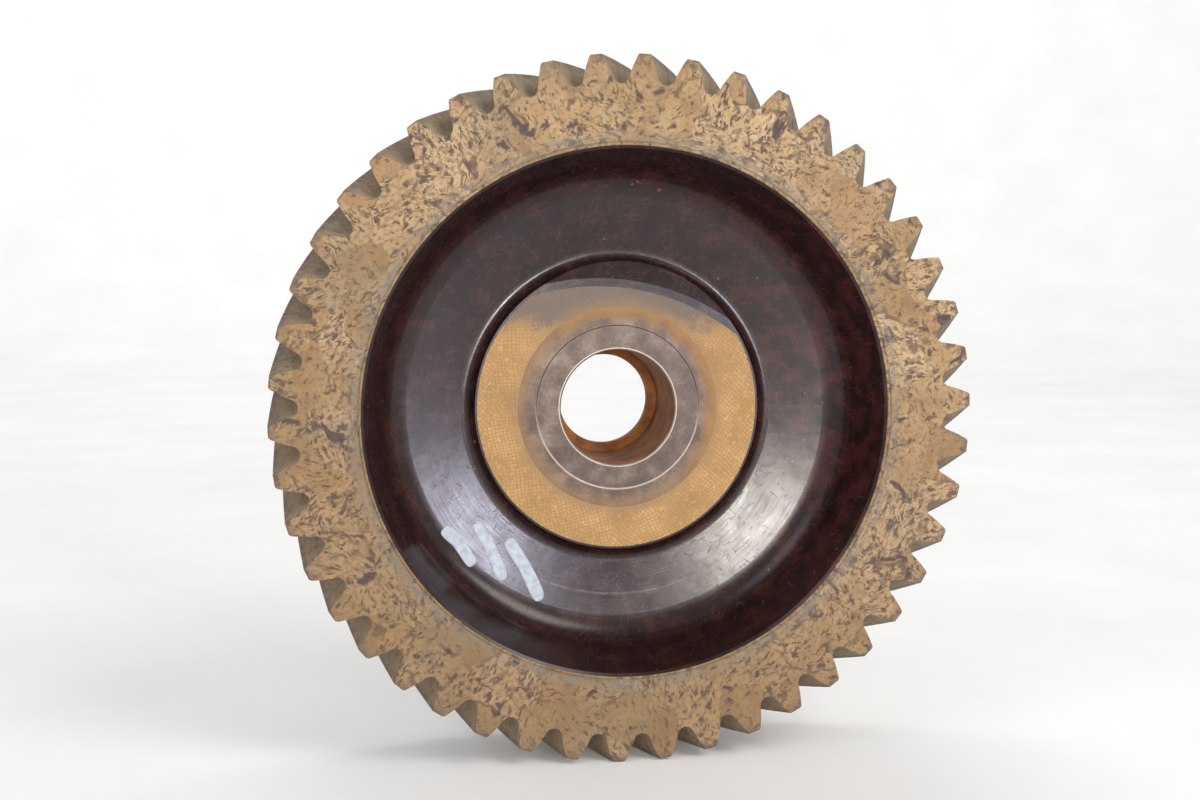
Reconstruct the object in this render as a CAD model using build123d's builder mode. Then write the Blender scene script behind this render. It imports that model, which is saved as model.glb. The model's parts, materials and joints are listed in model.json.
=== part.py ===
from build123d import *

import math
import os

# Helical camshaft timing gear: canvas-reinforced phenolic moulded round a steel hub.
# Millimetres. The gear turns about Y, with its dished front side towards -Y and +Z up. The
# origin is on its axis, in the plane of the shoulder that the shaft's end seats on.

# Teeth
teeth = 46
normal_module = 25.4 / 8  # 8 normal diametral pitch
normal_pressure_angle = math.radians(20)
helix_angle = math.radians(24)  # right hand
whole_depth = 2.157 * normal_module
backlash = 0.12  # taken off each tooth's thickness at the pitch circle
root_round = 0.43 * normal_module  # height of the rounded root above its floor
tooth_phase = math.radians(1.97)  # one tooth's centre at the front face, from +X
face_width = 28.575
tip_chamfer = 0.5  # at both ends of the teeth

# Steel hub
hub_length = 28.575
hub_radius = 25.0
bore_radius = 14.2875  # 1 1/8 in shaft
shoulder_width = 2.38125  # the hole through the shoulder then takes a 15/16 in screw
lip_thickness = 3.0
bore_chamfer = 0.4
scribed_circle_radius = 20.4
scribed_depth = 0.15
collar_height = 5.0  # moulded-in collar that keeps the hub from pulling out
collar_thickness = 8.0
collar_notches = 18  # these keep it from turning
collar_notch_radius = 2.4

# Boss, web and rim
rim_offset = 20.6  # how far the rim's front face stands in front of the hub
rim_wall = 14.36  # from the dish's edge to the roots of the teeth
rim_draft = math.radians(14)
rim_fillet = 9.0
boss_radius = 35.5
boss_step = 2.6  # boss face above the front of the web
boss_draft = math.radians(30)
boss_fillet = 3.0
web_thickness = 11.5  # at the boss
web_dish = math.radians(14)  # how much the front of the web leans forwards, out to the rim
web_joint = 7.9  # the macerated rim ends this far inside the dish's edge
rear_boss_draft = math.radians(8)
rear_boss_fillet = 5.0
rear_slope_fillet = 3.0
rear_rim_wall = 11.76  # from the inner edge of the rim's rear face to the roots

# Moulded resin skin and its machining
skin = 0.5
bevel_width = 0.7  # turned bevel at the inner edge of the rim's front face
bevel_depth = 0.6
turned_line_offset = 1.15  # fine turned line, this far outside the dish's edge
turned_line_depth = 0.3
crown_overhang = 22.9  # the boss falls away outside a circle larger than it by this much
crown_centre = (-5.0, -26.4)  # X and Z
crown_fall = 0.25  # drop for each millimetre outwards

# Worked-out sizes
pitch_radius = teeth * normal_module / math.cos(helix_angle) / 2
tip_radius = pitch_radius + normal_module
root_radius = tip_radius - whole_depth
pressure_angle = math.atan(math.tan(normal_pressure_angle) / math.cos(helix_angle))
base_radius = pitch_radius * math.cos(pressure_angle)
twist = math.degrees(face_width * math.tan(helix_angle) / pitch_radius)
lip_radius = bore_radius - shoulder_width
collar_radius = hub_radius + collar_height
hub_front = hub_length
rim_front = hub_front + rim_offset
rim_rear = rim_front - face_width
web_front = hub_front - boss_step
web_rear = web_front - web_thickness
rim_inner_radius = root_radius - rim_wall
rear_rim_radius = root_radius - rear_rim_wall
web_joint_radius = rim_inner_radius - web_joint
turned_line_radius = rim_inner_radius + turned_line_offset
collar_rear = web_rear + (web_thickness - collar_thickness) / 2
bevel_slope = bevel_depth / bevel_width
boss_foot_radius = boss_radius + boss_step * math.tan(boss_draft)
crown_radius = boss_radius + crown_overhang
crown_reach = boss_foot_radius + math.hypot(*crown_centre)  # past the whole boss
over = 1.0  # how far cutting shapes run past the faces that they cut

# Distances along the gear are counted forwards from the hub's rear end. A section has the
# radius as its x and that distance as its y, and a plane across the gear faces forwards.
rear_end = (0, lip_thickness, 0)
section = Plane(origin=rear_end, x_dir=(1, 0, 0), z_dir=(0, 0, -1))
across = Plane(origin=rear_end, x_dir=(1, 0, 0), z_dir=(0, -1, 0))


def involute(angle):
    return math.tan(angle) - angle


def half_thickness(radius):
    """Half of a tooth's angle at this radius."""
    at_pitch = math.pi / (2 * teeth) - backlash / (2 * pitch_radius)
    here = math.acos(base_radius / radius)
    return at_pitch + involute(pressure_angle) - involute(here)


def polar(radius, angle):
    return (radius * math.cos(angle), radius * math.sin(angle))


def flank(centre, side):
    """Points from the rounded root to the tip, on one side of the tooth at this angle."""
    low = root_radius + root_round
    radii = [low + (tip_radius - low) * step / 3 for step in range(4)]
    return [polar(radius, centre + side * half_thickness(radius)) for radius in radii]


def front_line():
    """The front of the moulding, from the rim's inner wall to the boss face."""
    lean, draft = math.tan(web_dish), math.tan(rim_draft)
    wall_at_web = rim_inner_radius - (rim_front - web_front) * draft
    rise = (wall_at_web - boss_foot_radius) * lean / (1 - lean * draft)
    return FilletPolyline(
        (rim_inner_radius + over * draft, rim_front + over),
        (wall_at_web + rise * draft, web_front + rise),
        (boss_foot_radius, web_front),
        (boss_radius, hub_front),
        radius=[rim_fillet, boss_fillet],
    )


def rear_line():
    """The rear of the moulding, from the rim's rear face to the boss's rear face."""
    slope = abs(rim_rear - web_rear)  # at 45 degrees
    slope_foot = rear_rim_radius - slope
    rear_boss_foot = boss_radius + web_rear * math.tan(rear_boss_draft)
    return FilletPolyline(
        (rear_rim_radius, rim_rear),
        (slope_foot, web_rear),
        (rear_boss_foot, web_rear),
        (boss_radius, 0),
        radius=[min(rear_slope_fillet, 2 * slope), rear_boss_fillet],
    )


# The space in front of the web, and the same space grown by the skin's thickness.
with BuildSketch(section) as front_outline:
    with BuildLine():
        front = front_line()
        Polyline(front @ 1, (boss_radius, rim_front + over), front @ 0)
    make_face()

with BuildPart() as front_space:
    revolve(front_outline.sketch, axis=Axis.Y)

with BuildPart() as front_space_and_skin:
    with BuildSketch(section):
        offset(front_outline.sketch_local, amount=skin, kind=Kind.INTERSECTION)
    revolve(axis=Axis.Y)

# The space behind the web, and the same space grown by the skin's thickness.
with BuildSketch(section) as rear_outline:
    with BuildLine():
        rear = rear_line()
        Polyline(rear @ 1, (boss_radius, -over), (rear_rim_radius, -over), rear @ 0)
    make_face()

with BuildPart() as rear_space:
    revolve(rear_outline.sketch, axis=Axis.Y)

with BuildPart() as rear_space_and_skin:
    with BuildSketch(section):
        offset(rear_outline.sketch_local, amount=skin, kind=Kind.INTERSECTION)
    revolve(axis=Axis.Y)


def crown_outline(drop):
    """What lies above the moulded boss's falling edge, lowered by drop."""
    start = crown_radius - drop / crown_fall
    return Polyline(
        (start, hub_front),
        (crown_reach, hub_front - (crown_reach - start) * crown_fall),
        (crown_reach, hub_front + over),
        (start, hub_front + over),
        close=True,
    )


# The moulded boss falls away outside an eccentric circle, where the facing cut ran out.
crown_x, crown_z = crown_centre
crown_section = Plane(origin=(crown_x, lip_thickness, crown_z), x_dir=(1, 0, 0), z_dir=(0, 0, -1))
crown_axis = Axis((crown_x, 0, crown_z), (0, 1, 0))

with BuildPart() as crown_space:
    with BuildSketch(crown_section):
        with BuildLine():
            crown_outline(0)
        make_face()
    revolve(axis=crown_axis)
    with BuildSketch(across):
        Circle(boss_foot_radius)
    extrude(amount=hub_front + over, mode=Mode.INTERSECT)

with BuildPart() as crown_space_and_skin:
    with BuildSketch(crown_section):
        with BuildLine():
            crown_outline(skin)
        make_face()
    revolve(axis=crown_axis)
    with BuildSketch(across):
        Circle(boss_foot_radius)
    extrude(amount=hub_front + over, mode=Mode.INTERSECT)

# What the lathe took off the rim: chamfers at both ends of the tooth tips, a bevel at the
# front face's inner edge, and a fine line just outside it.
with BuildPart() as rim_turning:
    with BuildSketch(section):
        for face, away in ((rim_front, 1), (rim_rear, -1)):
            with BuildLine():
                Polyline(
                    (tip_radius - tip_chamfer - over, face + away * over),
                    (tip_radius + over, face - away * (tip_chamfer + over)),
                    (tip_radius + over, face + away * over),
                    close=True,
                )
            make_face()
        with BuildLine():
            Polyline(
                (rim_inner_radius + bevel_width, rim_front),
                (rim_inner_radius - over, rim_front - (bevel_width + over) * bevel_slope),
                (rim_inner_radius - over, rim_front + over),
                (rim_inner_radius + bevel_width, rim_front + over),
                close=True,
            )
        make_face()
        with BuildLine():
            Polyline(
                (turned_line_radius - turned_line_depth, rim_front),
                (turned_line_radius, rim_front - turned_line_depth),
                (turned_line_radius + turned_line_depth, rim_front),
                close=True,
            )
        make_face()
    revolve(axis=Axis.Y)

# Turned steel hub: a shoulder at the rear end of the bore, a scribed circle on the front
# face, and a notched collar buried in the moulding.
with BuildPart() as steel_hub:
    with BuildSketch(section):
        with BuildLine():
            Polyline(
                (lip_radius, 0),
                (hub_radius, 0),
                (hub_radius, collar_rear),
                (collar_radius, collar_rear),
                (collar_radius, collar_rear + collar_thickness),
                (hub_radius, collar_rear + collar_thickness),
                (hub_radius, hub_front),
                (bore_radius + bore_chamfer, hub_front),
                (bore_radius, hub_front - bore_chamfer),
                (bore_radius, lip_thickness),
                (lip_radius, lip_thickness),
                close=True,
            )
        make_face()
    revolve(axis=Axis.Y)
    with BuildSketch(section):
        with BuildLine():
            Polyline(
                (scribed_circle_radius - scribed_depth, hub_front),
                (scribed_circle_radius, hub_front - scribed_depth),
                (scribed_circle_radius + scribed_depth, hub_front),
                close=True,
            )
        make_face()
    revolve(axis=Axis.Y, mode=Mode.SUBTRACT)
    with BuildSketch(across.offset(collar_rear)):
        with PolarLocations(collar_radius, collar_notches):
            Circle(collar_notch_radius)
    extrude(amount=collar_thickness, mode=Mode.SUBTRACT)

# Web and boss: plies of woven cloth, moulded round the collar.
with BuildPart() as cloth_web:
    with BuildSketch(across):
        Circle(web_joint_radius)
        Circle(lip_radius, mode=Mode.SUBTRACT)
    extrude(amount=hub_front)
    add(front_space_and_skin.part, mode=Mode.SUBTRACT)
    add(rear_space_and_skin.part, mode=Mode.SUBTRACT)
    add(crown_space_and_skin.part, mode=Mode.SUBTRACT)
    with BuildSketch(across):
        Circle(hub_radius)
    extrude(amount=hub_front, mode=Mode.SUBTRACT)
    add(steel_hub.part, mode=Mode.SUBTRACT)

# Rim and teeth: macerated cloth. One outline of all the teeth, twisted along the face.
with BuildSketch(across.offset(rim_rear)) as tooth_outline:
    with BuildLine():
        pitch = 2 * math.pi / teeth
        first = tooth_phase - math.radians(twist)
        for number in range(teeth):
            centre = first + number * pitch
            rising = flank(centre, -1)
            falling = flank(centre, 1)
            Spline(*rising)
            ThreePointArc(rising[-1], polar(tip_radius, centre), falling[-1])
            Spline(*reversed(falling))
            floor = polar(root_radius, centre + pitch / 2)
            ThreePointArc(falling[0], floor, flank(centre + pitch, -1)[0])
    make_face()

with BuildPart() as toothed_rim:
    add(
        Solid.extrude_linear_with_rotation(
            tooth_outline.sketch.face(), across.offset(rim_rear).origin, (0, -face_width, 0), twist
        )
    )
    with BuildSketch(across.offset(web_rear)):
        Circle(rear_rim_radius)
    extrude(amount=rim_rear - web_rear)
    with BuildSketch(across):
        Circle(web_joint_radius)
    extrude(amount=rim_front + over, mode=Mode.SUBTRACT)
    add(front_space_and_skin.part, mode=Mode.SUBTRACT)
    add(rear_space_and_skin.part, mode=Mode.SUBTRACT)
    add(rim_turning.part, mode=Mode.SUBTRACT)

# Moulded resin skins, left dark and glossy where nothing was machined.
with BuildPart() as boss_crown_skin:
    with BuildSketch(across.offset(web_front)):
        Circle(boss_radius)
    extrude(amount=boss_step)
    add(crown_space_and_skin.part, mode=Mode.INTERSECT)

with BuildPart() as front_skin:
    add(front_space_and_skin.part)
    add(front_space.part, mode=Mode.SUBTRACT)
    add(boss_crown_skin.part)
    add(crown_space.part, mode=Mode.SUBTRACT)
    with BuildSketch(across.offset(hub_front)):
        Circle(boss_radius)
    extrude(amount=rim_offset + 2 * over, mode=Mode.SUBTRACT)
    with BuildSketch(across.offset(rim_front)):
        Circle(rim_inner_radius + 2 * over)
    extrude(amount=2 * over, mode=Mode.SUBTRACT)
    add(rim_turning.part, mode=Mode.SUBTRACT)
    add(steel_hub.part, mode=Mode.SUBTRACT)

with BuildPart() as rear_skin:
    add(rear_space_and_skin.part)
    add(rear_space.part, mode=Mode.SUBTRACT)
    with BuildSketch(across):
        Circle(rear_rim_radius + over)
    extrude(amount=-2 * over, mode=Mode.SUBTRACT)
    with BuildSketch(across):
        Circle(rear_rim_radius + over)
        Circle(rear_rim_radius, mode=Mode.SUBTRACT)
    extrude(amount=rim_rear, mode=Mode.SUBTRACT)

steel_hub.part.label = "steel_hub"
cloth_web.part.label = "cloth_web"
toothed_rim.part.label = "toothed_rim"
front_skin.part.label = "front_skin"
rear_skin.part.label = "rear_skin"

os.makedirs("parts", exist_ok=True)
for piece in (steel_hub, cloth_web, toothed_rim, front_skin, rear_skin):
    export_step(piece.part, f"parts/{piece.part.label}.step")
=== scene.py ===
import json
import math
import random

import bmesh
import bpy
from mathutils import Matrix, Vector
from mathutils.bvhtree import BVHTree


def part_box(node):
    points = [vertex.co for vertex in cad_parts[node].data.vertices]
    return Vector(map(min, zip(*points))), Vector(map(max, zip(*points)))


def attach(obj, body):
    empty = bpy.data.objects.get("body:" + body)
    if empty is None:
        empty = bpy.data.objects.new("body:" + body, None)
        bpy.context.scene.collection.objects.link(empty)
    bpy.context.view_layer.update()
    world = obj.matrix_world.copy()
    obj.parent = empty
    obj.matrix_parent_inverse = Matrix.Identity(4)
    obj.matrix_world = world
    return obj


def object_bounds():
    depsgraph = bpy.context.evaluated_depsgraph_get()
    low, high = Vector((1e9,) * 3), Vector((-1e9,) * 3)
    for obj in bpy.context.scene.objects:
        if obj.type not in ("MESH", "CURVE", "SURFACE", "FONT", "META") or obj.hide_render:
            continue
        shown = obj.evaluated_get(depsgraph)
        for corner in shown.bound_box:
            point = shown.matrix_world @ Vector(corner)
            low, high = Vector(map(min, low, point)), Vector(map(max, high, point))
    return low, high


MM = 0.001  # metres in a millimetre

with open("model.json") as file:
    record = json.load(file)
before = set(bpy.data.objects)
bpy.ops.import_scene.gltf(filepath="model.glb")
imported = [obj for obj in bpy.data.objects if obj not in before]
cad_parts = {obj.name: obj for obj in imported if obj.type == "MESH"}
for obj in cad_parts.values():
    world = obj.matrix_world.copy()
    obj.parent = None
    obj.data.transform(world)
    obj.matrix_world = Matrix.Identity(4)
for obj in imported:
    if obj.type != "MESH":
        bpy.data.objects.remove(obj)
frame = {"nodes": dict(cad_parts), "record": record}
cad_low, cad_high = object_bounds()

# Sizes read from the frame, in millimetres. The gear turns about Y, and its front faces -Y.
hub_low, hub_high = (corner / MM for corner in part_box("steel_hub"))
rim_low, rim_high = (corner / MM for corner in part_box("toothed_rim"))
bore_mount = next(m for m in frame["record"]["mounts"] if m["name"] == "bore")
TIP_RADIUS = rim_high.x
BORE_RADIUS = bore_mount["dims"]["r_mm"]
RIM_FRONT = rim_low.y
HUB_FRONT = hub_low.y
HUB_REAR = hub_high.y
DISH_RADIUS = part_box("front_skin")[1].x / MM

# Sizes of this object's own surfaces, in millimetres.
HUB_RADIUS = 25.0
SCRIBED_RADIUS = 20.4
BOSS_RADIUS = 35.5
MOULD_LINE_RADIUS = 47.0
SKIN_ROUGHNESS = 0.1  # where nothing has rubbed it

# Settings that many nodes share.
TIMES = {"operation": "MULTIPLY"}
PLUS = {"operation": "ADD"}
SMOOTHLY = {"interpolation_type": "SMOOTHSTEP"}
COLOURS = {"data_type": "RGBA"}


def linear(colour):
    """An sRGB hex colour as the linear RGBA that the shaders work in."""
    parts = [int(colour[i : i + 2], 16) / 255 for i in (1, 3, 5)]
    return [c / 12.92 if c <= 0.04045 else ((c + 0.055) / 1.055) ** 2.4 for c in parts] + [1]


def put(tree, kind, settings=None, inputs=(), stops=()):
    """Adds a node and gives its outputs. The settings are its own, the inputs are values or
    other nodes' outputs, in order or by name, and the stops are a ramp's."""
    made = tree.nodes.new("ShaderNode" + kind)
    for name, value in (settings or {}).items():
        setattr(made, name, value)
    for name, value in inputs.items() if isinstance(inputs, dict) else enumerate(inputs):
        if isinstance(value, bpy.types.NodeSocket):
            tree.links.new(value, made.inputs[name])
        else:
            made.inputs[name].default_value = value
    for number, (place, colour) in enumerate(stops):
        ramp = made.color_ramp.elements
        stop = ramp[0] if number == 0 else ramp[-1] if number == len(stops) - 1 else ramp.new(place)
        stop.position, stop.color = place, linear(colour)
    return made.outputs


def new_material(name):
    """An empty node tree with one Principled shader, and the surface's point in millimetres."""
    material = bpy.data.materials.new(name)
    material.use_nodes = True
    tree = material.node_tree
    tree.nodes.clear()
    surface = put(tree, "BsdfPrincipled")[0]
    put(tree, "OutputMaterial", inputs={"Surface": surface})
    here = put(tree, "TexCoord")["Object"]
    point = put(tree, "VectorMath", {"operation": "SCALE"}, {0: here, "Scale": 1 / MM})
    return material, tree, surface.node, point[0]


def round_the_axis(tree, point):
    """The point's radius, its angle from +X in radians, and its place along the gear."""
    parts = put(tree, "SeparateXYZ", inputs=[point])
    flat = put(tree, "CombineXYZ", inputs={0: parts[0], 2: parts[2]})[0]
    radius = put(tree, "VectorMath", {"operation": "LENGTH"}, [flat])["Value"]
    angle = put(tree, "Math", {"operation": "ARCTAN2"}, [parts[2], parts[0]])[0]
    return radius, angle, parts[1]


def shifted(tree, point, scale, amount):
    """The point moved about by soft noise, by up to half the amount."""
    noise = put(tree, "TexNoise", inputs={"Vector": point, "Scale": scale, "Detail": 2})
    middle = put(tree, "VectorMath", {"operation": "SUBTRACT"}, [noise["Color"], (0.5,) * 3])
    push = put(tree, "VectorMath", {"operation": "SCALE"}, {0: middle[0], "Scale": 2 * amount})
    return put(tree, "VectorMath", PLUS, [point, push[0]])[0]


def macerated_phenolic():
    """Phenolic moulded from chopped canvas, then faced and hobbed. The cut shows scraps of
    cloth 10 to 15 mm across, each with its own run of threads, and the dark resin between
    them as short dashes, thin seams and pockets. Matt, grey on the flanks, dark at the tips."""
    material, tree, shader, point = new_material("macerated_phenolic")
    radius, angle = round_the_axis(tree, point)[:2]
    patchy = put(tree, "TexNoise", inputs={"Vector": point, "Scale": 1 / 5, "Detail": 3})[0]
    broad = put(tree, "TexNoise", inputs={"Vector": point, "Scale": 1 / 16, "Detail": 3})[0]
    flecks = put(tree, "TexNoise", inputs={"Vector": point, "Scale": 1 / 1.1, "Detail": 3})[0]
    grit = put(tree, "TexNoise", inputs={"Vector": point, "Scale": 1 / 1.8, "Detail": 3})[0]

    # Scraps, by cells with ragged sides.
    curled = shifted(tree, shifted(tree, point, 1 / 13, 8), 1 / 3, 1.6)
    scraps = put(tree, "TexVoronoi", inputs={"Vector": curled, "Scale": 1 / 13})
    chance = put(tree, "SeparateColor", inputs=[scraps["Color"]])
    edges = put(tree, "TexVoronoi", {"feature": "DISTANCE_TO_EDGE"}, {
        "Vector": curled,
        "Scale": 1 / 13,
    })
    seam = put(tree, "Math", TIMES, [
        put(tree, "MapRange", SMOOTHLY, [edges["Distance"], 0.01, 0.05, 1, 0])[0],
        put(tree, "MapRange", SMOOTHLY, [patchy, 0.5, 0.6])[0],
    ])[0]

    # Each scrap's threads run their own way, gently curved. Resin shows between them as
    # dashes, out of noise cells 2.6 mm by 1.1 mm and 1.4 mm by 0.7 mm. The weave is a faint
    # grid, drawn 1.2 mm apart because the real 0.65 mm is too fine to show.
    drawn = shifted(tree, shifted(tree, point, 1 / 9, 3), 1 / 1.5, 0.5)
    turned = put(tree, "VectorRotate", {"rotation_type": "Y_AXIS"}, {
        "Vector": drawn,
        "Angle": put(tree, "Math", TIMES, [chance[1], 4])[0],
    })[0]
    crowd = put(tree, "MapRange", SMOOTHLY, [
        put(tree, "Math", PLUS, [
            put(tree, "Math", TIMES, [chance[0], 0.5])[0],
            put(tree, "Math", TIMES, [broad, 0.9])[0],
        ])[0],
        0.4, 0.95, 0.05, -0.05,
    ])[0]
    dashes = []
    for length, width, least in ((2.6, 1.1, 0.54), (1.4, 0.7, 0.555)):
        drawn_out = (1 / length, 1 / 1.5, 1 / width)
        stretched = put(tree, "VectorMath", TIMES, [turned, drawn_out])[0]
        strokes = put(tree, "TexNoise", inputs={"Vector": stretched, "Scale": 1.0, "Detail": 2})[0]
        dashes.append(
            put(tree, "MapRange", SMOOTHLY, [
                put(tree, "Math", PLUS, [strokes, put(tree, "Math", TIMES, [crowd, -1])[0]])[0],
                least, least + 0.11,
            ])[0],
        )
    depth = put(tree, "MapRange", SMOOTHLY, [grit, 0.34, 0.62, 0.3, 1])[0]
    dash = put(tree, "Math", TIMES, [
        put(tree, "Math", {"operation": "MAXIMUM"}, [dashes[0], dashes[1]])[0],
        depth,
    ])[0]
    across = put(tree, "SeparateXYZ", inputs=[turned])
    warp = put(tree, "Math", {"operation": "SINE"}, [
        put(tree, "Math", TIMES, [across[0], math.tau / 1.2])[0],
    ])[0]
    weft = put(tree, "Math", {"operation": "SINE"}, [
        put(tree, "Math", TIMES, [across[2], math.tau / 1.2])[0],
    ])[0]
    weave = put(tree, "Math", TIMES, [
        put(tree, "MapRange", SMOOTHLY, [put(tree, "Math", TIMES, [warp, weft])[0], 0.1, 0.9])[0],
        put(tree, "MapRange", SMOOTHLY, [chance[2], 0.35, 0.55])[0],
    ])[0]

    # Resin pockets 2 to 5 mm across, soft at the edges.
    blots = put(tree, "TexNoise", inputs={"Vector": curled, "Scale": 1 / 5, "Detail": 3})[0]
    pocket = put(tree, "MapRange", SMOOTHLY, [blots, 0.625, 0.69])[0]

    shade = put(tree, "Math", PLUS, [
        put(tree, "Math", TIMES, [chance[0], 0.3])[0],
        put(tree, "Math", TIMES, [patchy, 0.4])[0],
    ])[0]
    shade = put(tree, "Math", PLUS, [shade, put(tree, "Math", TIMES, [broad, 0.4])[0]])[0]
    colour = put(tree, "ValToRGB", inputs=[shade], stops=[
        (0.34, "#7e6343"),
        (0.48, "#917550"),
        (0.6, "#a0845e"),
        (0.74, "#b09572"),
    ])[0]
    colour = put(tree, "Mix", COLOURS, {
        0: put(tree, "Math", TIMES, [
            put(tree, "MapRange", SMOOTHLY, [chance[1], 0.72, 0.85])[0],
            0.35,
        ])[0],
        6: colour,
        7: linear("#a07a50"),
    })[2]
    film = put(tree, "TexNoise", inputs={"Vector": point, "Scale": 1 / 21, "Detail": 4})[0]
    colour = put(tree, "Mix", COLOURS, {
        0: put(tree, "MapRange", SMOOTHLY, [film, 0.5, 0.66, 0, 0.45])[0],
        6: colour,
        7: linear("#82795f"),
    })[2]

    # Painted shade: darker and browner towards the lower left, the side away from the light at the
    # upper right. Then flecks, weave, resin and pockets.
    place = put(tree, "SeparateXYZ", inputs=[point])
    toward_the_light = put(tree, "Math", PLUS, [
        place[2],
        put(tree, "Math", TIMES, [place[0], 0.4])[0],
    ])[0]
    colour = put(tree, "Mix", COLOURS, {
        0: put(tree, "MapRange", SMOOTHLY, [toward_the_light, -70, 70, 0.42, 0])[0],
        6: colour,
        7: linear("#664a2a"),
    })[2]
    colour = put(tree, "Mix", COLOURS, {
        0: put(tree, "Math", TIMES, [put(tree, "MapRange", SMOOTHLY, [flecks, 0.48, 0.68])[0], 0.6])[0],
        6: colour,
        7: linear("#6b553f"),
    })[2]
    colour = put(tree, "Mix", COLOURS, {
        0: put(tree, "Math", TIMES, [weave, 0.38])[0],
        6: colour,
        7: linear("#6d553f"),
    })[2]
    colour = put(tree, "Mix", COLOURS, {
        0: put(tree, "Math", TIMES, [dash, 0.92])[0],
        6: colour,
        7: linear("#45352d"),
    })[2]
    colour = put(tree, "Mix", COLOURS, {
        0: put(tree, "Math", TIMES, [seam, 0.75])[0],
        6: colour,
        7: linear("#54412f"),
    })[2]
    colour = put(tree, "Mix", COLOURS, {
        0: put(tree, "Math", TIMES, [pocket, 0.88])[0],
        6: colour,
        7: linear("#3d2f30"),
    })[2]

    # Oil and dirt: a broken grey ring by the dish and dark purple-brown tips. The flanks, the faces
    # that don't face along the axis, are made greyer in patches.
    grime = put(tree, "TexNoise", inputs={"Vector": point, "Scale": 1 / 2.2, "Detail": 4})[0]
    round_about = put(tree, "CombineXYZ", inputs=[
        put(tree, "Math", TIMES, [radius, 1.4])[0],
        put(tree, "Math", TIMES, [angle, 9])[0],
    ])[0]
    smears = put(tree, "TexNoise", inputs={"Vector": round_about, "Scale": 1.0, "Detail": 3})[0]
    ring = put(tree, "Math", TIMES, [
        put(tree, "MapRange", SMOOTHLY, [radius, DISH_RADIUS + 0.6, DISH_RADIUS + 0.9])[0],
        put(tree, "MapRange", SMOOTHLY, [radius, DISH_RADIUS + 1.6, DISH_RADIUS + 4.5, 1, 0])[0],
    ])[0]
    ring = put(tree, "Math", TIMES, [ring, put(tree, "MapRange", SMOOTHLY, [smears, 0.4, 0.6])[0]])[0]
    colour = put(tree, "Mix", COLOURS, {
        0: put(tree, "Math", TIMES, [ring, 0.75])[0],
        6: colour,
        7: linear("#6d675c"),
    })[2]
    normal = put(tree, "NewGeometry")["Normal"]
    facing = put(tree, "SeparateXYZ", inputs=[normal])[1]
    forwards = put(tree, "Math", {"operation": "ABSOLUTE"}, [facing])[0]
    flank = put(tree, "MapRange", SMOOTHLY, [forwards, 0.5, 0.9, 1, 0])[0]
    colour = put(tree, "Mix", COLOURS, {
        0: put(tree, "Math", TIMES, [
            flank,
            put(tree, "MapRange", SMOOTHLY, [grime, 0.3, 0.7, 0.35, 0.8])[0],
        ])[0],
        6: colour,
        7: linear("#80745f"),
    })[2]
    tip = put(tree, "Math", TIMES, [
        put(tree, "MapRange", SMOOTHLY, [radius, TIP_RADIUS - 2.4, TIP_RADIUS - 0.3])[0],
        put(tree, "MapRange", SMOOTHLY, [grime, 0.38, 0.56])[0],
    ])[0]
    colour = put(tree, "Mix", COLOURS, {
        0: put(tree, "Math", TIMES, [tip, 0.72])[0],
        6: colour,
        7: linear("#5e4a47"),
    })[2]
    tree.links.new(colour, shader.inputs["Base Color"])

    shader.inputs["Roughness"].default_value = 0.75
    shader.inputs["IOR"].default_value = 1.5
    height = put(tree, "Math", PLUS, [
        put(tree, "Math", TIMES, [dash, -0.06])[0],
        put(tree, "Math", TIMES, [pocket, -0.08])[0],
    ])[0]
    height = put(tree, "Math", PLUS, [height, put(tree, "Math", TIMES, [flecks, 0.14])[0]])[0]
    bump = put(tree, "Bump", inputs={"Height": height, "Distance": MM})
    tree.links.new(bump[0], shader.inputs["Normal"])
    return material


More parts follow.
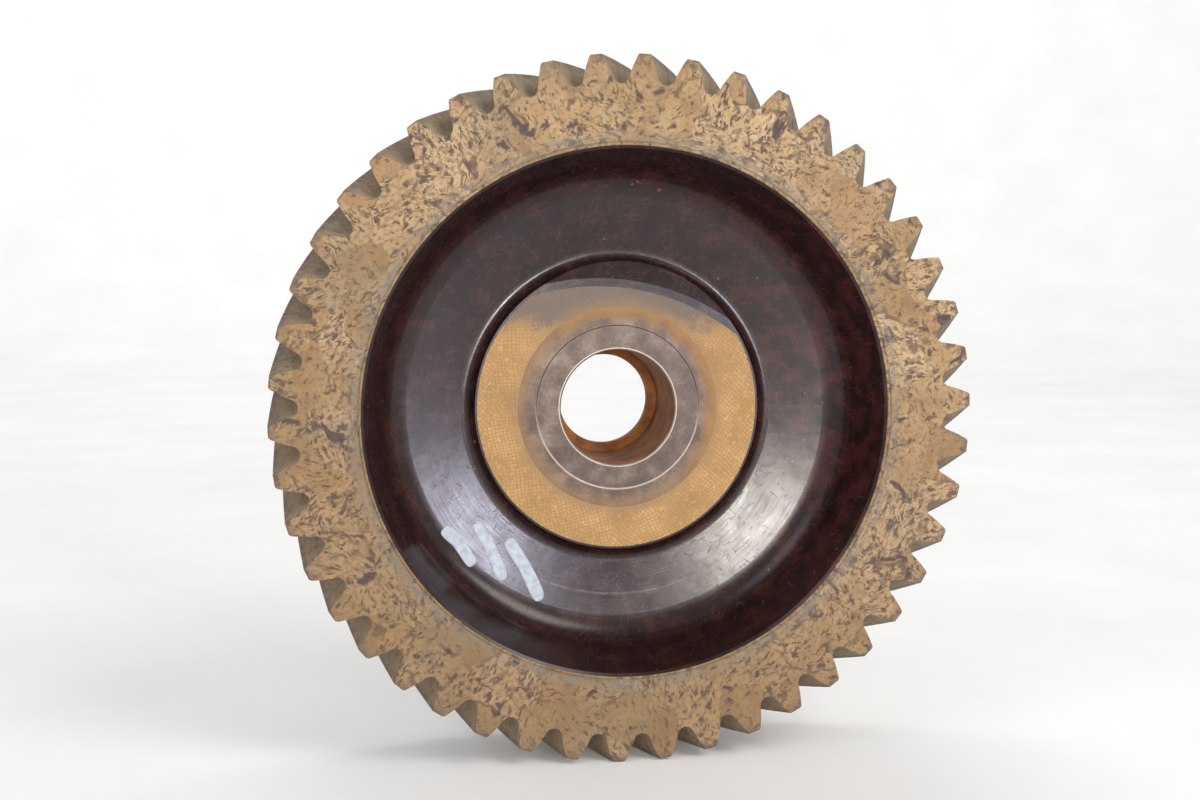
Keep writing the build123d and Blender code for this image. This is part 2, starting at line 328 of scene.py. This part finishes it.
def woven_phenolic():
    """Phenolic moulded from plies of fine woven cloth, then faced across the boss. Golden
    tan, with threads that turn from ply to ply, browner towards the hub, and a grey film of
    resin where the facing cut ran out at the top. Its outer edge is torn. The threads are
    really 0.65 mm apart, and are drawn 0.85 and 0.95 mm apart so that they show."""
    material, tree, shader, point = new_material("woven_phenolic")
    radius, angle, along = round_the_axis(tree, point)
    height_up = put(tree, "SeparateXYZ", inputs=[point])[2]
    plies = put(tree, "TexVoronoi", inputs={"Vector": shifted(tree, point, 1 / 15, 9), "Scale": 1 / 22})
    chance = put(tree, "SeparateColor", inputs=[plies["Color"]])
    turn = put(tree, "MapRange", SMOOTHLY, [chance[0], 0, 1, 0.05, 0.9])[0]
    turned = put(tree, "VectorRotate", {"rotation_type": "Y_AXIS"}, {
        "Vector": shifted(tree, point, 1 / 9, 0.8),
        "Angle": turn,
    })[0]
    across = put(tree, "SeparateXYZ", inputs=[turned])
    warp = put(tree, "Math", {"operation": "SINE"}, [
        put(tree, "Math", TIMES, [across[0], math.tau / 0.95])[0],
    ])[0]
    weft = put(tree, "Math", {"operation": "SINE"}, [
        put(tree, "Math", TIMES, [across[2], math.tau / 0.85])[0],
    ])[0]
    gap = put(tree, "MapRange", SMOOTHLY, [
        put(tree, "Math", {"operation": "MAXIMUM"}, [warp, weft])[0],
        0.45, 1,
    ])[0]
    patchy = put(tree, "TexNoise", inputs={"Vector": point, "Scale": 1 / 7, "Detail": 4})[0]
    grain = put(tree, "TexNoise", inputs={"Vector": point, "Scale": 1 / 0.7, "Detail": 3})[0]
    colour = put(
        tree,
        "ValToRGB",
        inputs=[
            put(tree, "Math", PLUS, [
                put(tree, "Math", TIMES, [patchy, 0.7])[0],
                put(tree, "Math", TIMES, [grain, 0.3])[0],
            ])[0],
        ],
        stops=[(0.36, "#92703f"), (0.5, "#a47e4a"), (0.64, "#b38d58")],
    )[0]
    colour = put(tree, "Mix", COLOURS, {
        0: put(tree, "Math", TIMES, [
            gap,
            put(tree, "MapRange", SMOOTHLY, [patchy, 0.35, 0.6, 0.12, 0.4])[0],
        ])[0],
        6: colour,
        7: linear("#6f4a22"),
    })[2]
    colour = put(tree, "Mix", COLOURS, {
        0: put(tree, "Math", TIMES, [put(tree, "MapRange", SMOOTHLY, [grain, 0.62, 0.72])[0], 0.5])[0],
        6: colour,
        7: linear("#d2aa6c"),
    })[2]

    # The grey film: over the top of the boss, its lower edge ragged and in specks.
    ragged = put(tree, "Math", PLUS, [height_up, put(tree, "Math", TIMES, [patchy, 14])[0]])[0]
    ragged = put(tree, "Math", PLUS, [ragged, put(tree, "Math", TIMES, [grain, 6])[0]])[0]
    film = put(tree, "Math", TIMES, [
        put(tree, "MapRange", SMOOTHLY, [ragged, 28, 33])[0],
        put(tree, "MapRange", SMOOTHLY, [along, HUB_FRONT + 8, HUB_FRONT + 12, 1, 0])[0],
    ])[0]
    colour = put(tree, "Mix", COLOURS, {
        0: put(tree, "Math", TIMES, [film, 0.88])[0],
        6: colour,
        7: linear("#5c524c"),
    })[2]
    near_hub = put(tree, "Math", PLUS, [radius, put(tree, "Math", TIMES, [patchy, 4])[0]])[0]
    colour = put(tree, "Mix", COLOURS, {
        0: put(tree, "Math", TIMES, [
            put(tree, "MapRange", SMOOTHLY, [near_hub, HUB_RADIUS + 2, HUB_RADIUS + 5.5, 1, 0])[0],
            0.55,
        ])[0],
        6: colour,
        7: linear("#8a6a44"),
    })[2]

    # Thread ends torn along the boss's edge, a thread's width apart.
    threads = put(tree, "TexNoise", {"noise_dimensions": "1D"}, {
        "W": put(tree, "Math", TIMES, [angle, BOSS_RADIUS / 0.9])[0],
        "Scale": 1.0,
    })
    torn = put(tree, "Math", PLUS, [radius, put(tree, "Math", TIMES, [threads[0], 1.6])[0]])[0]
    colour = put(tree, "Mix", COLOURS, {
        0: put(tree, "Math", TIMES, [
            put(tree, "MapRange", SMOOTHLY, [torn, BOSS_RADIUS + 0.42, BOSS_RADIUS + 0.6])[0],
            0.9,
        ])[0],
        6: colour,
        7: linear("#1d1210"),
    })[2]
    tree.links.new(colour, shader.inputs["Base Color"])
    shader.inputs["Roughness"].default_value = 0.58
    shader.inputs["IOR"].default_value = 1.5
    height = put(tree, "Math", PLUS, [
        put(tree, "Math", TIMES, [gap, -0.05])[0],
        put(tree, "Math", TIMES, [grain, 0.05])[0],
    ])[0]
    bump = put(tree, "Bump", inputs={"Height": height, "Distance": MM})
    tree.links.new(bump[0], shader.inputs["Normal"])
    return material


def moulded_skin():
    """Phenolic resin straight from a polished mould: almost black red-brown and glossy. Fine
    scratches and rub marks round the axis dull it, a painted red glow lightens it towards the
    right, where the light falls, and a few orange and grey specks of cloth and dust lie on it."""
    material, tree, shader, point = new_material("moulded_skin")
    radius, angle = round_the_axis(tree, point)[:2]
    cloudy = put(tree, "TexNoise", inputs={"Vector": point, "Scale": 1 / 5, "Detail": 5})[0]
    mottle = put(tree, "TexNoise", inputs={"Vector": point, "Scale": 1 / 1.6, "Detail": 4})[0]
    colour = put(
        tree,
        "ValToRGB",
        inputs=[
            put(tree, "Math", PLUS, [
                put(tree, "Math", TIMES, [cloudy, 0.6])[0],
                put(tree, "Math", TIMES, [mottle, 0.4])[0],
            ])[0],
        ],
        stops=[(0.35, "#180d0c"), (0.5, "#241211"), (0.65, "#341a16")],
    )[0]
    # Painted glow: redder and lighter towards the right, the side the light comes from, as thin resin
    # lit from behind would look.
    sideways = put(tree, "SeparateXYZ", inputs=[point])[0]
    painted_glow = put(tree, "Math", TIMES, [
        put(tree, "MapRange", SMOOTHLY, [sideways, 20, 55])[0],
        put(tree, "MapRange", SMOOTHLY, [cloudy, 0.42, 0.62])[0],
    ])[0]
    painted_glow = put(tree, "Math", TIMES, [painted_glow, 0.6])[0]
    colour = put(tree, "Mix", COLOURS, {0: painted_glow, 6: colour, 7: linear("#451a1d")})[2]
    for spacing, size, luck_from, shade in ((5.0, 0.07, 0.8, "#8a4426"), (3.2, 0.08, 0.86, "#77695f")):
        specks = put(tree, "TexVoronoi", inputs={
            "Vector": shifted(tree, point, 1 / 2, 0.9),
            "Scale": 1 / spacing,
        })
        luck = put(tree, "SeparateColor", inputs=[specks["Color"]])
        speck = put(tree, "Math", TIMES, [
            put(tree, "MapRange", SMOOTHLY, [specks["Distance"], size / 2, size * 1.5, 1, 0])[0],
            put(tree, "MapRange", SMOOTHLY, [luck[0], luck_from, luck_from + 0.04])[0],
        ])[0]
        speck = put(tree, "Math", TIMES, [speck, 0.7])[0]
        colour = put(tree, "Mix", COLOURS, {0: speck, 6: colour, 7: linear(shade)})[2]

    # Dust along a faint line that the mould's insert left, below the boss.
    below = put(tree, "Math", TIMES, [
        put(tree, "MapRange", SMOOTHLY, [angle, -2.1, -1.9])[0],
        put(tree, "MapRange", SMOOTHLY, [angle, -1.35, -1.1, 1, 0])[0],
    ])[0]
    off_line = put(tree, "Math", {"operation": "SUBTRACT"}, [radius, MOULD_LINE_RADIUS])[0]
    by_line = put(tree, "MapRange", SMOOTHLY, [
        put(tree, "Math", {"operation": "ABSOLUTE"}, [off_line])[0],
        0.1, 0.4, 1, 0,
    ])[0]
    colour = put(tree, "Mix", COLOURS, {
        0: put(tree, "Math", TIMES, [
            put(tree, "Math", TIMES, [
                put(tree, "Math", TIMES, [by_line, below])[0],
                put(tree, "MapRange", SMOOTHLY, [mottle, 0.3, 0.5])[0],
            ])[0],
            0.4,
        ])[0],
        6: colour,
        7: linear("#6f5f58"),
    })[2]

    # Rub marks drawn out round the axis, and scratches 0.15 mm wide across them.
    spiral = put(tree, "CombineXYZ", inputs=[
        put(tree, "Math", TIMES, [radius, 3])[0],
        put(tree, "Math", TIMES, [angle, 4])[0],
    ])[0]
    rubs = put(tree, "TexNoise", inputs={"Vector": spiral, "Scale": 1.0, "Detail": 4})[0]
    scratch = None
    for lean in (0.5, 1.1, -0.6):
        turned = put(tree, "VectorRotate", {"rotation_type": "Y_AXIS"}, {
            "Vector": point,
            "Angle": lean,
        })[0]
        drawn = put(tree, "VectorMath", TIMES, [turned, (1 / 4, 1 / 9, 1 / 0.25)])
        lines = put(tree, "TexNoise", inputs={"Vector": drawn[0], "Scale": 1.0, "Detail": 2})[0]
        here = put(tree, "MapRange", SMOOTHLY, [lines, 0.68, 0.74])[0]
        scratch = here if scratch is None else put(tree, "Math", PLUS, [scratch, here])[0]
    colour = put(tree, "Mix", COLOURS, {
        0: put(tree, "Math", TIMES, [scratch, 0.07])[0],
        6: colour,
        7: linear("#8a7c78"),
    })[2]
    tree.links.new(colour, shader.inputs["Base Color"])
    rough = put(tree, "Math", PLUS, [
        put(tree, "Math", TIMES, [rubs, 0.16])[0],
        put(tree, "Math", TIMES, [cloudy, 0.14])[0],
    ])[0]
    rough = put(tree, "Math", PLUS, [rough, put(tree, "Math", TIMES, [scratch, 0.2])[0]])[0]
    rough = put(tree, "Math", PLUS, [rough, SKIN_ROUGHNESS])[0]
    tree.links.new(rough, shader.inputs["Roughness"])
    shader.inputs["IOR"].default_value = 1.5
    shader.inputs["Specular IOR Level"].default_value = 0.42  # dust and wear take some of the shine
    ripple = put(tree, "TexNoise", inputs={"Vector": point, "Scale": 1 / 6, "Detail": 2})[0]
    height = put(tree, "Math", PLUS, [
        put(tree, "Math", TIMES, [rubs, 0.004])[0],
        put(tree, "Math", TIMES, [ripple, 0.05])[0],
    ])[0]
    height = put(tree, "Math", PLUS, [height, put(tree, "Math", TIMES, [scratch, -0.006])[0]])[0]
    bump = put(tree, "Bump", inputs={"Height": height, "Distance": MM})
    tree.links.new(bump[0], shader.inputs["Normal"])
    return material


def turned_steel():
    """Mild steel turned on a lathe and long out of its engine: brown-grey, dull, with the
    tool's fine rings. Rust creeps in from the cloth, mostly at the top and right, and the bore
    is rusty orange. Its edge is painted pale as a painted highlight, and the scribed circle is
    pale, partly as scratched bright metal and partly as a painted highlight in its lower half."""
    material, tree, shader, point = new_material("turned_steel")
    radius, angle, along = round_the_axis(tree, point)
    rings = put(tree, "CombineXYZ", inputs=[
        put(tree, "Math", TIMES, [radius, 4])[0],
        put(tree, "Math", TIMES, [angle, 0.8])[0],
    ])[0]
    tool = put(tree, "TexNoise", inputs={"Vector": rings, "Scale": 1.0, "Detail": 4})[0]
    stains = put(tree, "TexNoise", inputs={"Vector": point, "Scale": 1 / 5, "Detail": 5})[0]
    grain = put(tree, "TexNoise", inputs={"Vector": point, "Scale": 1 / 0.8, "Detail": 3})[0]
    colour = put(
        tree,
        "ValToRGB",
        inputs=[
            put(tree, "Math", PLUS, [
                put(tree, "Math", TIMES, [stains, 0.7])[0],
                put(tree, "Math", TIMES, [grain, 0.3])[0],
            ])[0],
        ],
        stops=[(0.36, "#40362f"), (0.5, "#50463f"), (0.64, "#685d53")],
    )[0]
    colour = put(tree, "Mix", COLOURS, {
        0: put(tree, "Math", TIMES, [tool, 0.3])[0],
        6: colour,
        7: linear("#5e4e49"),
    })[2]
    to_the_right = put(tree, "MapRange", SMOOTHLY, [angle, -0.9, -0.3])[0]
    upper = put(tree, "Math", TIMES, [
        to_the_right,
        put(tree, "MapRange", SMOOTHLY, [angle, 2.0, 2.5, 1, 0])[0],
    ])[0]
    uneven = put(tree, "Math", PLUS, [radius, put(tree, "Math", TIMES, [stains, 5])[0]])[0]
    uneven = put(tree, "Math", PLUS, [uneven, put(tree, "Math", TIMES, [grain, 1.5])[0]])[0]
    creep = put(tree, "MapRange", SMOOTHLY, [uneven, HUB_RADIUS - 1.0, HUB_RADIUS + 2.8])[0]
    rust = put(tree, "Math", TIMES, [
        creep,
        put(tree, "Math", PLUS, [put(tree, "Math", TIMES, [upper, 0.5])[0], 0.3])[0],
    ])[0]
    colour = put(tree, "Mix", COLOURS, {0: rust, 6: colour, 7: linear("#97703f")})[2]
    bore_rust = put(tree, "ValToRGB", inputs=[stains], stops=[(0.35, "#6d3c17"), (0.6, "#985d27")])[0]
    inside = put(tree, "Math", TIMES, [
        put(tree, "MapRange", SMOOTHLY, [radius, BORE_RADIUS + 0.02, BORE_RADIUS + 0.1, 1, 0])[0],
        put(tree, "MapRange", SMOOTHLY, [along, HUB_REAR - 0.15, HUB_REAR - 0.05, 1, 0])[0],
    ])[0]
    on_front = put(tree, "MapRange", SMOOTHLY, [along, HUB_FRONT + 0.8, HUB_FRONT + 1.2, 1, 0])[0]
    # Painted highlight: a pale ring along the bore's edge on the front.
    edge = put(tree, "Math", TIMES, [
        put(tree, "MapRange", SMOOTHLY, [radius, BORE_RADIUS + 0.05, BORE_RADIUS + 0.15])[0],
        put(tree, "MapRange", SMOOTHLY, [radius, BORE_RADIUS + 0.45, BORE_RADIUS + 0.7, 1, 0])[0],
    ])[0]
    # The scribed circle: faintly pale all round as scratched bright metal, and brighter in its lower
    # half as a painted highlight, where the groove's wall faces up to the light.
    off_line = put(tree, "Math", {"operation": "SUBTRACT"}, [radius, SCRIBED_RADIUS])[0]
    line = put(tree, "MapRange", SMOOTHLY, [
        put(tree, "Math", {"operation": "ABSOLUTE"}, [off_line])[0],
        0.12, 0.25, 1, 0,
    ])[0]
    lower = put(tree, "MapRange", SMOOTHLY, [
        put(tree, "Math", {"operation": "SINE"}, [angle])[0],
        -0.5, 0.3, 1, 0.15,
    ])[0]
    colour = put(tree, "Mix", COLOURS, {
        0: put(tree, "Math", TIMES, [
            put(tree, "Math", TIMES, [put(tree, "Math", TIMES, [line, lower])[0], on_front])[0],
            0.8,
        ])[0],
        6: colour,
        7: linear("#cbbcb0"),
    })[2]
    colour = put(tree, "Mix", COLOURS, {
        0: put(tree, "Math", TIMES, [put(tree, "Math", TIMES, [edge, on_front])[0], 0.6])[0],
        6: colour,
        7: linear("#c9bfb2"),
    })[2]
    colour = put(tree, "Mix", COLOURS, {0: inside, 6: colour, 7: bore_rust})[2]
    tree.links.new(colour, shader.inputs["Base Color"])
    covered = put(tree, "Math", {"operation": "MAXIMUM"}, [rust, inside])[0]
    tree.links.new(
        put(tree, "MapRange", SMOOTHLY, [covered, 0, 0.9, 0.75, 0.05])[0],
        shader.inputs["Metallic"],
    )
    tree.links.new(
        put(tree, "MapRange", SMOOTHLY, [covered, 0, 0.9, 0.42, 0.75])[0],
        shader.inputs["Roughness"],
    )
    height = put(tree, "Math", PLUS, [
        put(tree, "Math", TIMES, [tool, 0.02])[0],
        put(tree, "Math", TIMES, [grain, 0.03])[0],
    ])[0]
    bump = put(tree, "Bump", inputs={"Height": height, "Distance": MM})
    tree.links.new(bump[0], shader.inputs["Normal"])
    return material


def marker_paint():
    """Marker paint, dried thick and pale: chalky blue-white, thin where the brush lifted."""
    material, tree, shader, point = new_material("marker_paint")
    cloudy = put(tree, "TexNoise", inputs={"Vector": point, "Scale": 1 / 1.5, "Detail": 5})[0]
    colour = put(tree, "ValToRGB", inputs=[cloudy], stops=[(0.3, "#8d959e"), (0.6, "#a9b1b9")])[0]
    tree.links.new(colour, shader.inputs["Base Color"])
    shader.inputs["Roughness"].default_value = 0.5
    height = put(tree, "Math", TIMES, [cloudy, 0.03])[0]
    bump = put(tree, "Bump", inputs={"Height": height, "Distance": MM})
    tree.links.new(bump[0], shader.inputs["Normal"])
    return material


def painted_board():
    """A pale painted table top, matt and very slightly uneven."""
    material, tree, shader, point = new_material("painted_board")
    cloudy = put(tree, "TexNoise", inputs={"Vector": point, "Scale": 1 / 90, "Detail": 3})[0]
    colour = put(tree, "ValToRGB", inputs=[cloudy], stops=[(0.3, "#ebecec"), (0.7, "#f2f2f1")])[0]
    tree.links.new(colour, shader.inputs["Base Color"])
    shader.inputs["Roughness"].default_value = 0.8
    return material


MATERIALS = {
    "toothed_rim": macerated_phenolic(),
    "cloth_web": woven_phenolic(),
    "front_skin": moulded_skin(),
    "steel_hub": turned_steel(),
}
MATERIALS["rear_skin"] = MATERIALS["front_skin"]
for node, material in MATERIALS.items():
    mesh = frame["nodes"][node].data
    mesh.materials.clear()
    mesh.materials.append(material)


def skin_front(x, z):
    """The place on the front skin straight behind this point, in millimetres."""
    hit = FRONT_SKIN.ray_cast(Vector((x, RIM_FRONT - 5, z)) * MM, Vector((0, 1, 0)))
    return hit[0] / MM, hit[1]


def paint_dab(name, points, width):
    """A brush dab along the points (X and Z), domed and thinner at its ends. Its edge is sunk
    into the skin, and a skirt goes further down."""
    steps, sides = 26, 10
    depth, sunk, skirt = 0.16, 0.03, 0.1
    wobble = random.Random(name).uniform(0, math.tau)
    mesh = bmesh.new()
    rows = []
    for step in range(steps + 1):
        share = step / steps
        place = share * (len(points) - 1)
        first = min(int(place), len(points) - 2)
        (x0, z0), (x1, z1) = points[first], points[first + 1]
        x, z = x0 + (x1 - x0) * (place - first), z0 + (z1 - z0) * (place - first)
        length = math.hypot(x1 - x0, z1 - z0)
        out = (-(z1 - z0) / length, (x1 - x0) / length)
        end = math.sqrt(max(0.0, 1 - (2 * share - 1) ** 8))
        half = width / 2 * (0.25 + 0.75 * end) * (1 + 0.04 * math.sin(7 * share + wobble))
        drift = 0.1 * math.sin(6 * share + 2 * wobble)
        row = []
        for side in range(sides + 1):
            offset = (2 * side / sides - 1) * half + drift
            spot, normal = skin_front(x + out[0] * offset, z + out[1] * offset)
            dome = math.sqrt(max(0.0, 1 - (2 * side / sides - 1) ** 2)) * end
            lift = depth * dome * (1 + 0.15 * math.sin(5 * share + wobble)) - sunk
            row.append(mesh.verts.new((spot + normal * lift) * MM))
        rows.append(row)
    for near, far in zip(rows, rows[1:]):
        for side in range(sides):
            mesh.faces.new((near[side], near[side + 1], far[side + 1], far[side]))
    edge = bmesh.ops.extrude_edge_only(mesh, edges=[e for e in mesh.edges if e.is_boundary])
    for vert in (v for v in edge["geom"] if isinstance(v, bmesh.types.BMVert)):
        vert.co += Vector((0, skirt * MM, 0))
    bmesh.ops.recalc_face_normals(mesh, faces=mesh.faces)
    data = bpy.data.meshes.new(name)
    mesh.to_mesh(data)
    mesh.free()
    data.shade_smooth()
    data.materials.append(PAINT)
    dab = bpy.data.objects.new(name, data)
    bpy.context.scene.collection.objects.link(dab)
    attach(dab, "root")


def paint_marks():
    """Three plain dabs of paint on the lower left of the web. They spell nothing."""
    paint_dab("paint_dab_left", [(-43.5, -29.0), (-40.0, -32.5), (-36.0, -38.5)], 3.3)
    paint_dab("paint_dab_middle", [(-35.5, -28.0), (-32.0, -34.5), (-28.5, -42.5)], 3.1)
    paint_dab("paint_dab_right", [(-27.5, -32.5), (-23.5, -39.5), (-19.5, -48.0)], 3.5)


def stage_bowl():
    """A pale floor that curves up into walls all round, like a studio's paper sweep."""
    flat, bend, top = 1.3, 0.6, 1.6
    steps, sides = 12, 96
    profile = [(0, 0), (flat, 0)]
    for step in range(1, steps + 1):
        turn = math.radians(90 * step / steps)
        profile.append((flat + bend * math.sin(turn), bend - bend * math.cos(turn)))
    profile.append((flat + bend, top))
    mesh = bmesh.new()
    rings = []
    for radius, height in profile[1:]:
        turns = [math.tau * s / sides for s in range(sides)]
        rings.append(
            [mesh.verts.new((radius * math.cos(t), radius * math.sin(t), height)) for t in turns]
        )
    mesh.faces.new(rings[0])
    for inner, outer in zip(rings, rings[1:]):
        for s in range(sides):
            t = (s + 1) % sides
            mesh.faces.new((inner[s], outer[s], outer[t], inner[t]))
    data = bpy.data.meshes.new("floor")
    mesh.to_mesh(data)
    mesh.free()
    data.shade_smooth()
    floor = bpy.data.objects.new("floor", data)
    floor.location.z = cad_low.z
    data.materials.append(painted_board())
    bpy.context.scene.collection.objects.link(floor)


def softbox(name, place, aim, size, power, colour):
    """A rectangular soft light at place, in metres, turned to aim."""
    lamp = bpy.data.lights.new(name, "AREA")
    lamp.shape = "RECTANGLE"
    lamp.size, lamp.size_y = size
    lamp.energy = power
    lamp.color = linear(colour)[:3]
    made = bpy.data.objects.new(name, lamp)
    made.location = place
    made.rotation_euler = (Vector(aim) - Vector(place)).to_track_quat("-Z", "Y").to_euler()
    made.visible_camera = False
    bpy.context.scene.collection.objects.link(made)


def studio():
    """A big soft window high on the right, a weaker one on the left, two small cards near the
    camera that show as soft patches in the glossy web, and a wash of light on the back wall."""
    middle = (0, -0.03, 0)
    softbox("window_right", (0.75, -0.75, 0.95), middle, (0.55, 0.7), 8.0, "#fffaf2")
    softbox("window_left", (-0.8, -0.6, 0.8), middle, (0.5, 0.6), 1.6, "#eef3ff")
    softbox("card_right", (0.40, -1.0, 0.1), middle, (0.14, 0.14), 4.0, "#ebecff")
    softbox("card_left", (-0.08, -1.0, 0.115), middle, (0.14, 0.14), 4.4, "#fffaf0")
    softbox("wall_wash", (0, 0.55, 1.5), (0, 1.8, 0.35), (1.2, 0.3), 13.5, "#fdfcfa")
    world = bpy.data.worlds.new("room")
    world.use_nodes = True
    back = world.node_tree.nodes["Background"]
    back.inputs[0].default_value = linear("#ecedf0")
    back.inputs[1].default_value = 0.5
    bpy.context.scene.world = world


def camera():
    """A little above and to the left of the gear's axis, as near as a hand-held camera."""
    azimuth, elevation = math.radians(-8.16), math.radians(4.95)
    distance = 0.3126
    aim = Vector((-7.5 * MM, RIM_FRONT * MM, 3.7 * MM))
    back = Vector(
        (
            math.sin(azimuth) * math.cos(elevation),
            -math.cos(azimuth) * math.cos(elevation),
            math.sin(elevation),
        )
    )
    lens = bpy.data.cameras.new("camera")
    lens.lens = 40.36
    lens.sensor_width = 36
    made = bpy.data.objects.new("camera", lens)
    made.location = aim + back * distance
    made.rotation_euler = (-back).to_track_quat("-Z", "Y").to_euler()
    bpy.context.scene.collection.objects.link(made)
    bpy.context.scene.camera = made


PAINT = marker_paint()
FRONT_SKIN = BVHTree.FromObject(frame["nodes"]["front_skin"], bpy.context.evaluated_depsgraph_get())
paint_marks()
stage_bowl()
studio()
camera()
bpy.context.scene.view_settings.view_transform = "Standard"
